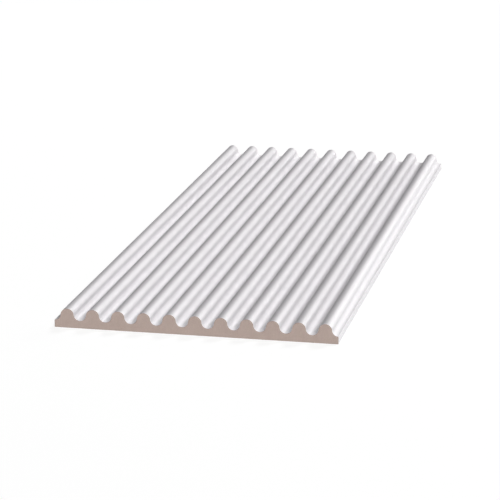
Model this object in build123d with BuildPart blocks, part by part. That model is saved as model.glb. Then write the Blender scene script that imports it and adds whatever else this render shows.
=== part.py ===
"""Wave-profiled wall panel: one board of MDF with round ridges and round valleys moulded along its face.

Millimetres. X runs across the ridges, Y along them and +Z out of the room side.
The origin is the middle of the flat back, which is glued to the wall.
"""

import os
from math import atan2, degrees

from build123d import *

# Driving dimensions
ridge_count = 11
ridge_pitch = 20.0  # crest to crest
board_thickness = 15.0  # flat back to crest
wave_depth = 9.2  # crest to valley bottom
crest_radius = 5.2
arris_radius = 0.2  # eased long edges
panel_length = 594.0

# The crest and valley arcs meet in a smooth flank, so pitch and depth fix the sum of their radii.
half_pitch = ridge_pitch / 2
arc_radii_sum = (wave_depth**2 + half_pitch**2) / (2 * wave_depth)
valley_radius = arc_radii_sum - crest_radius
flank_slope = degrees(2 * atan2(wave_depth, half_pitch))  # each arc turns this far from level

panel_width = ridge_count * ridge_pitch
half_width = panel_width / 2
valley_height = board_thickness - wave_depth
crest_centre_height = board_thickness - crest_radius
valley_centre_height = valley_height + valley_radius
first_crest_x = half_pitch - half_width

with BuildPart() as wave_panel:
    with BuildSketch(Plane.XZ) as section:
        with BuildLine():
            # A crest over each ridge, and a whole valley between it and the next one
            for ridge in range(ridge_count):
                crest_x = first_crest_x + ridge * ridge_pitch
                CenterArc((crest_x, crest_centre_height), crest_radius, 90 - flank_slope, 2 * flank_slope)
                if ridge < ridge_count - 1:
                    valley_x = crest_x + half_pitch
                    CenterArc((valley_x, valley_centre_height), valley_radius, 270 - flank_slope, 2 * flank_slope)
            # Each long edge stops at a valley bottom, so panels side by side carry the wave on
            CenterArc((-half_width, valley_centre_height), valley_radius, 270, flank_slope)
            CenterArc((half_width, valley_centre_height), valley_radius, 270 - flank_slope, flank_slope)
            Polyline(
                (-half_width, valley_height),
                (-half_width, 0),
                (half_width, 0),
                (half_width, valley_height),
            )
        make_face()
        edge_columns = section.vertices().group_by(Axis.X)
        fillet(edge_columns[0] + edge_columns[-1], arris_radius)
    extrude(amount=panel_length / 2, both=True)

wave_panel.part.label = "wave_panel"

os.makedirs("parts", exist_ok=True)
export_step(wave_panel.part, "parts/wave_panel.step")
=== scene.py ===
"""Looks of a wave-profiled wall panel: one moulded fibreboard, primed white, that lies on a pale floor."""

from math import atan2, radians

import bmesh
import bpy
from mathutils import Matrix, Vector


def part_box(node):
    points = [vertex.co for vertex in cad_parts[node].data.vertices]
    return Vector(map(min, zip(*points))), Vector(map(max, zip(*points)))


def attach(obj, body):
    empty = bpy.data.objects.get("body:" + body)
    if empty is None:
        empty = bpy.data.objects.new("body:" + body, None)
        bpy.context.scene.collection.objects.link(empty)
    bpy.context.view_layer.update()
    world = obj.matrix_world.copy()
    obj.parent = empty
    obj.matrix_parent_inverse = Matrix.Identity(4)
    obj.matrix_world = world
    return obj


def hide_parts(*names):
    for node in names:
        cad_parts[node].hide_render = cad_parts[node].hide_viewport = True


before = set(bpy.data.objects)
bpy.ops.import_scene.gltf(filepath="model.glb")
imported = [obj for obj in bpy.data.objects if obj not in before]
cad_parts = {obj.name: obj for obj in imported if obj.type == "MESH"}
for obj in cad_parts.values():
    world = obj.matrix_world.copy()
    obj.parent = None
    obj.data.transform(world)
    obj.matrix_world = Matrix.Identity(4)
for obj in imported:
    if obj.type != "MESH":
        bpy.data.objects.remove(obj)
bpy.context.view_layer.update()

# The board: one length of MDF, run through a moulder that leaves round ridges and round valleys
# along its face, then sawn to length. Each long edge stops at a valley bottom, so that the wave
# carries on over the next panel, and its corners are eased by a light sanding.
MM = 0.001
low_corner, high_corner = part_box("wave_panel")
board_length = high_corner.y - low_corner.y
half_length = board_length / 2
half_width = high_corner.x
board_thickness = high_corner.z
ridge_pitch = 20 * MM
ridge_count = round(2 * half_width / ridge_pitch)
wave_depth = 9.2 * MM
crest_radius = 5.2 * MM
arris = 0.2 * MM
arris_steps = 3
saw_arris = 0.15 * MM
crest_steps = 18
valley_steps = 16
near = 0.01 * MM
smooth_up_to = radians(30)

half_pitch = ridge_pitch / 2
flank_turn = 2 * atan2(wave_depth, half_pitch)
valley_radius = (wave_depth**2 + half_pitch**2) / (2 * wave_depth) - crest_radius
valley_height = board_thickness - wave_depth


def select_edges(wanted):
    """Selects, in edit mode, the edges of the active mesh whose middle and run, end to end, pass the test."""
    bpy.ops.mesh.select_mode(type="EDGE")
    bpy.ops.mesh.select_all(action="DESELECT")
    mesh = bpy.context.object.data
    shape = bmesh.from_edit_mesh(mesh)
    for edge in shape.edges:
        first, last = (corner.co for corner in edge.verts)
        edge.select_set(wanted((first + last) / 2, last - first))
    bmesh.update_edit_mesh(mesh)


def select_faces(wanted):
    """Selects, in edit mode, the faces of the active mesh whose normal passes the test."""
    bpy.ops.mesh.select_mode(type="FACE")
    bpy.ops.mesh.select_all(action="DESELECT")
    mesh = bpy.context.object.data
    shape = bmesh.from_edit_mesh(mesh)
    for face in shape.faces:
        face.select_set(wanted(face.normal))
    bmesh.update_edit_mesh(mesh)


# The plane's left edge is kept as the line along one crest. Spun about the centre line of the crest, and
# then about that of the valley, it sweeps half a wave.
bpy.ops.object.select_all(action="DESELECT")
bpy.ops.mesh.primitive_plane_add(size=board_length, location=(half_length, 0, board_thickness))
board = bpy.context.object
board.name = "moulded_board"
bpy.ops.object.transform_apply(location=True, rotation=True, scale=True)
bpy.ops.object.mode_set(mode="EDIT")
select_edges(lambda middle, run: middle.x > board_length - near)
bpy.ops.mesh.delete(type="VERT")
bpy.ops.mesh.select_all(action="SELECT")
bpy.ops.mesh.spin(
    steps=crest_steps,
    angle=-flank_turn,
    center=(0, 0, board_thickness - crest_radius),
    axis=(0, 1, 0),
)
bpy.ops.mesh.spin(
    steps=valley_steps,
    angle=flank_turn,
    center=(half_pitch, 0, valley_height + valley_radius),
    axis=(0, 1, 0),
)
bpy.ops.object.mode_set(mode="OBJECT")

# Mirrored at its crest, the half is a whole ridge. It moves to the left end of the row and repeats across.
mirror = board.modifiers.new("ridge", "MIRROR")
mirror.merge_threshold = near
bpy.ops.object.modifier_apply(modifier=mirror.name)
bpy.ops.object.mode_set(mode="EDIT")
bpy.ops.mesh.select_all(action="SELECT")
bpy.ops.transform.translate(value=(half_pitch - half_width, 0, 0))
bpy.ops.object.mode_set(mode="OBJECT")
row = board.modifiers.new("row", "ARRAY")
row.count = ridge_count
row.use_relative_offset = False
row.use_constant_offset = True
row.constant_offset_displace = (ridge_pitch, 0, 0)
row.use_merge_vertices = True
row.merge_threshold = near
bpy.ops.object.modifier_apply(modifier=row.name)

# The rim of the waved sheet drops to the floor as the board's edges and ends, and the back closes it.
bpy.ops.object.mode_set(mode="EDIT")
bpy.ops.mesh.select_mode(type="EDGE")
bpy.ops.mesh.select_all(action="DESELECT")
bpy.ops.mesh.select_non_manifold()
bpy.ops.mesh.extrude_region_move(TRANSFORM_OT_translate={"value": (0, 0, -board_thickness)})
bpy.ops.transform.resize(value=(1, 1, 0), center_override=(0, 0, 0))
select_edges(lambda middle, run: middle.z < near and abs(middle.y) > half_length - near)
bpy.ops.mesh.bridge_edge_loops()
bpy.ops.mesh.select_all(action="SELECT")
bpy.ops.mesh.remove_doubles(threshold=near)
bpy.ops.mesh.normals_make_consistent(inside=False)

# Eased corners: the four long ones are sanded round, and the saw's own corners are only just broken.
select_edges(lambda middle, run: abs(run.y) > half_length and abs(middle.x) > half_width - near)
bpy.ops.mesh.bevel(offset=arris, segments=arris_steps, affect="EDGES")
select_faces(lambda normal: abs(normal.y) > 0.9)
bpy.ops.mesh.region_to_loop()
bpy.ops.mesh.bevel(offset=saw_arris, segments=1, affect="EDGES")
bpy.ops.object.mode_set(mode="OBJECT")
bpy.ops.object.shade_smooth_by_angle(angle=smooth_up_to)


class Signal:
    """A socket in a finish's node tree, so that shader maths reads as sums and products of signals."""

    def __init__(self, tree, socket=None):
        self.tree = tree
        self.socket = socket

    def node(self, kind, settings, inputs, output=0):
        """Adds a node, sets its settings and then its inputs, and gives back one of its outputs."""
        made = self.tree.nodes.new(kind)
        for name, setting in settings.items():
            setattr(made, name, setting)
        for name, value in inputs.items():
            if isinstance(value, Signal):
                self.tree.links.new(value.socket, made.inputs[name])
            else:
                made.inputs[name].default_value = value
        return Signal(self.tree, made.outputs[output])

    def maths(self, operation, first, second=0.0):
        return self.node("ShaderNodeMath", {"operation": operation}, {0: first, 1: second})

    def __add__(self, other):
        return self.maths("ADD", self, other)

    __radd__ = __add__

    def __sub__(self, other):
        return self.maths("SUBTRACT", self, other)

    def __rsub__(self, other):
        return self.maths("SUBTRACT", other, self)

    def __mul__(self, other):
        return self.maths("MULTIPLY", self, other)

    __rmul__ = __mul__

    def stretched(self, along):
        """These coordinates, squeezed on each axis by the share that along gives."""
        return self.node("ShaderNodeMapping", {}, {"Vector": self, "Scale": along})

    def speckle(self, size, detail=2.0):
        """Noise on these coordinates from 0 to 1, with lumps of about that size."""
        return self.node("ShaderNodeTexNoise", {}, {"Vector": self, "Scale": 1 / size, "Detail": detail})

    def axis(self, name):
        return self.node("ShaderNodeSeparateXYZ", {}, {"Vector": self}, name)

    def ramp(self, start, stop, low=0.0, high=1.0):
        """Goes from low to high while this value goes from start to stop."""
        inputs = {"Value": self, "From Min": start, "From Max": stop, "To Min": low, "To Max": high}
        return self.node("ShaderNodeMapRange", {}, inputs)

    def between(self, first, second):
        """A colour that goes from first to second with this value."""
        return self.node("ShaderNodeMix", {"data_type": "RGBA"}, {"Factor": self, 6: first, 7: second}, 2)

    def relief(self, depth, strength=1.0):
        """A surface normal for this height, which stands for that many metres."""
        return self.node("ShaderNodeBump", {}, {"Height": self, "Distance": depth, "Strength": strength})

    def feed(self, node, name):
        self.tree.links.new(self.socket, node.inputs[name])


def new_finish(name):
    """A new material, its shader and the coordinates on the board that its pattern follows."""
    finish = bpy.data.materials.new(name)
    finish.use_nodes = True
    place = Signal(finish.node_tree).node("ShaderNodeTexCoord", {}, {}, "Object")
    return finish, finish.node_tree.nodes["Principled BSDF"], place


# White primer, sprayed on and rubbed down to a soft sheen. It lies smooth on the dense crests, and the looser
# fibre that the cutters open up in the valleys stands a little rough under it. Faint streaks follow the feed.
primer_white = (0.85, 0.834, 0.85, 1)
primer_thin = (0.835, 0.819, 0.834, 1)
primer_roughness = 0.4
primer_sheen = 0.75
peel_size = 0.7 * MM
peel_depth = 0.02 * MM
streak_size = 1.6 * MM
cloud_size = 35 * MM
along_the_feed = (1, 0.02, 1)
primer, primer_shader, place = new_finish("white_primer")
peel = place.speckle(peel_size)
streak = place.stretched(along_the_feed).speckle(streak_size)
cloud = place.speckle(cloud_size)
opened = place.axis("Z").ramp(board_thickness, valley_height)
thinness = (streak * 0.6 + cloud * 0.4).ramp(0.4, 0.7)
thinness.between(primer_white, primer_thin).feed(primer_shader, "Base Color")
(primer_roughness + opened * 0.06 + peel * 0.06).feed(primer_shader, "Roughness")
primer_shader.inputs["Specular IOR Level"].default_value = primer_sheen
(peel * (0.5 + 0.5 * opened) + streak * 0.5).relief(peel_depth, 0.35).feed(primer_shader, "Normal")
board.data.materials.append(primer)

# Bare board on the sawn ends: felted grey-brown fibre, flattened along the faces, with faint scores from
# the saw. It is darker in a thin band along the bottom, next to the back.
fibre_pale = (0.56, 0.48, 0.444, 1)
fibre_dark = (0.476, 0.404, 0.372, 1)
fibre_size = 0.45 * MM
fibre_depth = 0.06 * MM
clump_size = 9 * MM
bottom_band_depth = 1.2 * MM
sawn_roughness = 0.8
along_the_face = (0.35, 1, 1)
down_the_cut = (1, 1, 0.05)
sawn, sawn_shader, place = new_finish("sawn_fibreboard")
fibre = place.stretched(along_the_face).speckle(fibre_size, 4.0)
score = place.stretched(down_the_cut).speckle(fibre_size)
clump = place.speckle(clump_size)
# The sawn ends grow darker in a thin band of that depth along the bottom.
bottom_band = place.axis("Z").ramp(bottom_band_depth, 0)
darkness = (fibre * 0.55 + score * 0.2 + clump * 0.25).ramp(0.32, 0.68) + bottom_band * 0.5
darkness.between(fibre_pale, fibre_dark).feed(sawn_shader, "Base Color")
(sawn_roughness + fibre * 0.15).feed(sawn_shader, "Roughness")
(fibre + score * 0.5).relief(fibre_depth, 0.5).feed(sawn_shader, "Normal")
board.data.materials.append(sawn)

# Bare back: the same fibre, sanded flat along the board to take glue, with the primer's ragged lap along
# both long edges.
lap_width = 2.5 * MM
rag_size = 4 * MM
sanding_size = 0.8 * MM
sanding_depth = 0.03 * MM
mottle_size = 14 * MM
sanded_roughness = 0.7
along_the_board = (1, 0.01, 1)
back, back_shader, place = new_finish("sanded_back")
fibre = place.speckle(fibre_size, 4.0)
sanding = place.stretched(along_the_board).speckle(sanding_size)
mottle = place.speckle(mottle_size)
inset = half_width - place.maths("ABSOLUTE", place.axis("X"))
rag = (place.speckle(rag_size, 4.0) - 0.5) * (3 * lap_width)
lap = (inset + rag).ramp(lap_width, 0.8 * lap_width)
shade = (fibre * 0.45 + sanding * 0.3 + mottle * 0.25).ramp(0.3, 0.7)
lap.between(shade.between(fibre_pale, fibre_dark), primer_thin).feed(back_shader, "Base Color")
(sanded_roughness + fibre * 0.15 - lap * 0.2).feed(back_shader, "Roughness")
(fibre + sanding).relief(sanding_depth, 0.4).feed(back_shader, "Normal")
board.data.materials.append(back)

# The primer is on every face but the sawn ends and the back.
bare_faces = {1: lambda normal: abs(normal.y) > 0.5, 2: lambda normal: normal.z < -0.9}
bpy.ops.object.mode_set(mode="EDIT")
for slot, faces in bare_faces.items():
    select_faces(faces)
    board.active_material_index = slot
    bpy.ops.object.material_slot_assign()
bpy.ops.object.mode_set(mode="OBJECT")
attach(board, "root")
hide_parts("wave_panel")

# The floor: a plain pale sheet that the board lies on, turned up far away as a low backdrop. It is lit from
# below as a light table is, so that hardly a shadow shows on it.
floor_size = 40
backdrop_height = 0.8
floor_pale = (0.1, 0.1, 0.1, 1)
floor_roughness = 0.9
floor_glow = 0.89
white = (1, 1, 1, 1)
bpy.ops.object.select_all(action="DESELECT")
bpy.ops.mesh.primitive_plane_add(size=floor_size)
floor = bpy.context.object
floor.name = "floor"
bpy.ops.object.mode_set(mode="EDIT")
bpy.ops.mesh.select_mode(type="EDGE")
bpy.ops.mesh.select_all(action="SELECT")
bpy.ops.mesh.extrude_edges_move(TRANSFORM_OT_translate={"value": (0, 0, backdrop_height)})
bpy.ops.object.mode_set(mode="OBJECT")
paper, paper_shader, place = new_finish("pale_paper")
paper_shader.inputs["Base Color"].default_value = floor_pale
paper_shader.inputs["Roughness"].default_value = floor_roughness
paper_shader.inputs["Emission Color"].default_value = white
paper_shader.inputs["Emission Strength"].default_value = floor_glow
# The board finds so large a glow without being aimed at it, which leaves less grain in the picture.
paper.cycles.emission_sampling = "NONE"
floor.data.materials.append(paper)

# Light: four broad, far softboxes, each with its strength, its swing to the right and its lean behind the
# board, both in degrees. The key stands in front on the right, the back light and the rim light behind on the
# right, and a weak fill in front on the left.
light_spread = radians(16)
softboxes = {
    "key": (1.86, 40, -45),
    "back": (1.62, 25, 45),
    "rim": (0.44, 60, 60),
    "fill": (0.58, -40, -45),
}
for name, (strength, swing, lean) in softboxes.items():
    bpy.ops.object.light_add(type="SUN", rotation=(radians(-lean), radians(swing), 0))
    softbox = bpy.context.object
    softbox.name = name
    softbox.data.energy = strength
    softbox.data.angle = light_spread

# Camera: a long lens that stands in front of the near end, a little to the right, and looks down on the face
# at a shallow angle.
camera_place = (0.39041, -1.94727, 0.51876)
camera_elevation = radians(14.9265)
camera_azimuth = radians(11.901)
camera_lens = 168.85
bpy.ops.object.camera_add(location=camera_place, rotation=(radians(90) - camera_elevation, 0, camera_azimuth))
camera = bpy.context.object
camera.data.lens = camera_lens
bpy.context.scene.camera = camera

# The room round the set is dark, so that the softboxes shape the wave. The picture is shown with the
# harder contrast of a print.
room_light = 0.02
print_contrast = 1.5
world = bpy.data.worlds.new("studio")
bpy.context.scene.world = world
world.use_nodes = True
world.node_tree.nodes["Background"].inputs["Color"].default_value = white
world.node_tree.nodes["Background"].inputs["Strength"].default_value = room_light
bpy.context.scene.view_settings.view_transform = "Standard"
bpy.context.scene.view_settings.gamma = 1 / print_contrast
